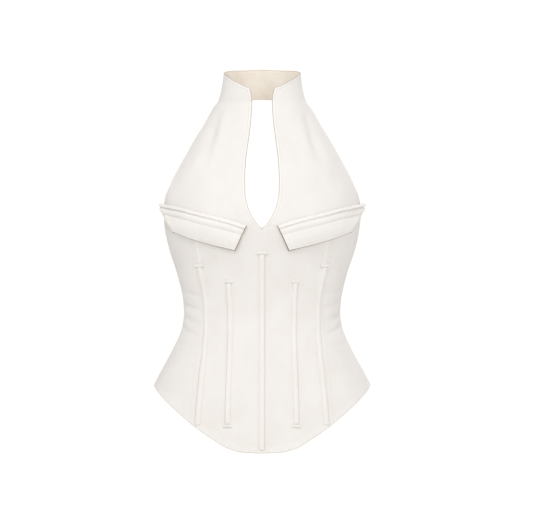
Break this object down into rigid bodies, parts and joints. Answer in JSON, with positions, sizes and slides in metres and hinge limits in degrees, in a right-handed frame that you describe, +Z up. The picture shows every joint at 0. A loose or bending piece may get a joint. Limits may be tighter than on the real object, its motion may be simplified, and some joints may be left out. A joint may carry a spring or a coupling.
{
  "type": "denim corset top",
  "caption": "Sleeveless off-white denim corset top: halter stand collar over an open keyhole, slanted bust flaps, raised bone channels, pointed front hem and a centre back zip.",
  "frame": {"origin": "middle of the halter collar's ring at the height of its lower edge, where the wearer's neck holds the top up", "axes": "+Z up along the wearer's body, -Y the way the front faces, +X to the right of someone who looks at the front"},
  "size_m": [0.3346, 0.2576, 0.5894],
  "materials": {
    "denim": "off-white cotton twill, matt",
    "faced_denim": "off-white cotton twill in two layers, matt",
    "zip_tape": "woven tape, matt",
    "zip_metal": "polished nickel plate"
  },
  "bodies": {
    "top": {"bib_left": "denim", "bib_right": "denim", "collar": "faced_denim", "front_left": "denim", "front_right": "denim", "side_left": "denim", "side_right": "denim", "back_left": "denim", "back_right": "denim", "flap_left": "faced_denim", "flap_right": "faced_denim", "bone_channel_centre": "denim", "bone_channel_inner_left": "denim", "bone_channel_inner_right": "denim", "bone_channel_outer_left": "denim", "bone_channel_outer_right": "denim", "zip_tape": "zip_tape", "zip_teeth": "zip_metal", "zip_slider": "zip_metal"},
    "pull": {"zip_pull": "zip_metal"}
  },
  "joints": [
    {"name": "zip_pull_swing", "type": "hinge", "parent": "top", "child": "pull", "pos_m": [0, 0.10825, -0.22456], "axis": [1, 0, 0], "range_deg": [-8, 160]}
  ]
}
